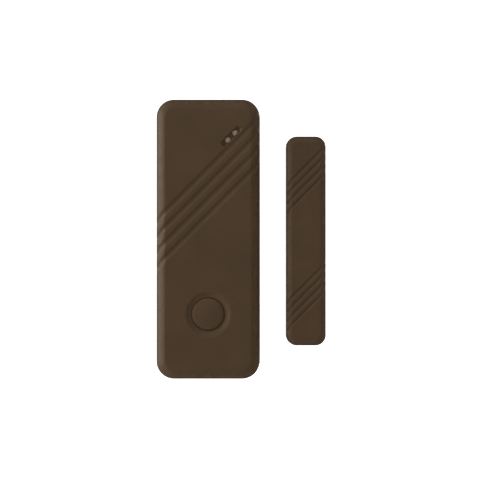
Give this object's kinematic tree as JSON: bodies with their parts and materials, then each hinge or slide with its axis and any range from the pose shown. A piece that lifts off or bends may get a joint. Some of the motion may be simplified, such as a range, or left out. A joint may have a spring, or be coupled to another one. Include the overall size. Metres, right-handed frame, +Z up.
{
  "type": "door contact sensor",
  "caption": "Wireless door contact: a slim grooved sensor case with a panic button and status lights, and a separate magnet unit that moves with the door.",
  "frame": {"origin": "centre of the back face of the sensor's adhesive pad, on the wall plane", "axes": "+Z up the length of both cases, +X from the sensor towards the magnet unit, +Y into the wall, so the fronts face -Y"},
  "size_m": [0.0608, 0.016, 0.1],
  "materials": {
    "brown_plastic": "fine moulded grain, matt",
    "foam_tape": "closed-cell foam, matt",
    "clear_resin": "clear, slightly milky",
    "fibreglass": "green solder resist over glass cloth",
    "plated_steel": "zinc plated",
    "nickel": "nickel plated, satin",
    "bare_aluminium": "satin",
    "copper_wire": "enamelled",
    "battery_sleeve": "shrunk sleeve, satin",
    "reed_glass": "clear",
    "black_resin": "satin",
    "ivory_resin": "satin",
    "red_resin": "clear, tinted",
    "green_resin": "clear, tinted",
    "ferrite": "sintered, dull"
  },
  "bodies": {
    "sensor_back_half": {"sensor_adhesive_pad": "foam_tape", "sensor_base": "brown_plastic", "circuit_board": "fibreglass", "board_screw_upper": "plated_steel", "board_screw_lower": "plated_steel", "board_screw_side": "plated_steel", "battery_contact_positive": "nickel", "battery_contact_negative": "nickel", "battery_spring": "nickel", "reed_switch_glass": "reed_glass", "reed_lead_upper": "nickel", "reed_lead_lower": "nickel", "button_switch_body": "black_resin", "tamper_switch_body": "black_resin", "encoder_chip": "black_resin", "saw_resonator": "nickel", "storage_capacitor": "bare_aluminium", "spring_aerial": "copper_wire", "alarm_lamp_red": "red_resin", "status_lamp_green": "green_resin"},
    "sensor_front_half": {"front_cover": "brown_plastic", "light_guide": "clear_resin"},
    "button": {"panic_button": "brown_plastic"},
    "button_plunger": {"button_switch_plunger": "black_resin"},
    "tamper_plunger": {"tamper_switch_plunger": "ivory_resin"},
    "battery": {"battery_cell": "battery_sleeve"},
    "magnet_back_half": {"magnet_adhesive_pad": "foam_tape", "magnet_base": "brown_plastic", "bar_magnet": "ferrite"},
    "magnet_front_half": {"magnet_cover": "brown_plastic"}
  },
  "joints": [
    {"name": "cover_release", "type": "slide", "parent": "sensor_back_half", "child": "sensor_front_half", "axis": [0, -1, 0], "range_m": [0, 0.03]},
    {"name": "button_press", "type": "slide", "parent": "sensor_front_half", "child": "button", "axis": [0, 1, 0], "range_m": [0, 0.0005], "stiffness_N_per_m": 800},
    {"name": "button_plunger_travel", "type": "slide", "parent": "sensor_back_half", "child": "button_plunger", "axis": [0, 1, 0], "range_m": [0, 0.00035]},
    {"name": "tamper_plunger_rise", "type": "slide", "parent": "sensor_back_half", "child": "tamper_plunger", "axis": [0, -1, 0], "range_m": [0, 0.0015]},
    {"name": "battery_lift", "type": "slide", "parent": "sensor_back_half", "child": "battery", "axis": [0, -1, 0], "range_m": [0, 0.012]},
    {"name": "door_opening", "type": "slide", "parent": "sensor_back_half", "child": "magnet_back_half", "axis": [1, 0, 0], "range_m": [0, 0.06]},
    {"name": "magnet_cover_release", "type": "slide", "parent": "magnet_back_half", "child": "magnet_front_half", "axis": [0, -1, 0], "range_m": [0, 0.02]}
  ],
  "couplings": [
    {"joint": "button_plunger_travel", "follows": "button_press", "ratio": 0.7},
    {"joint": "tamper_plunger_rise", "follows": "cover_release", "ratio": 0.05},
    {"joint": "battery_lift", "follows": "cover_release", "ratio": 0.4}
  ]
}
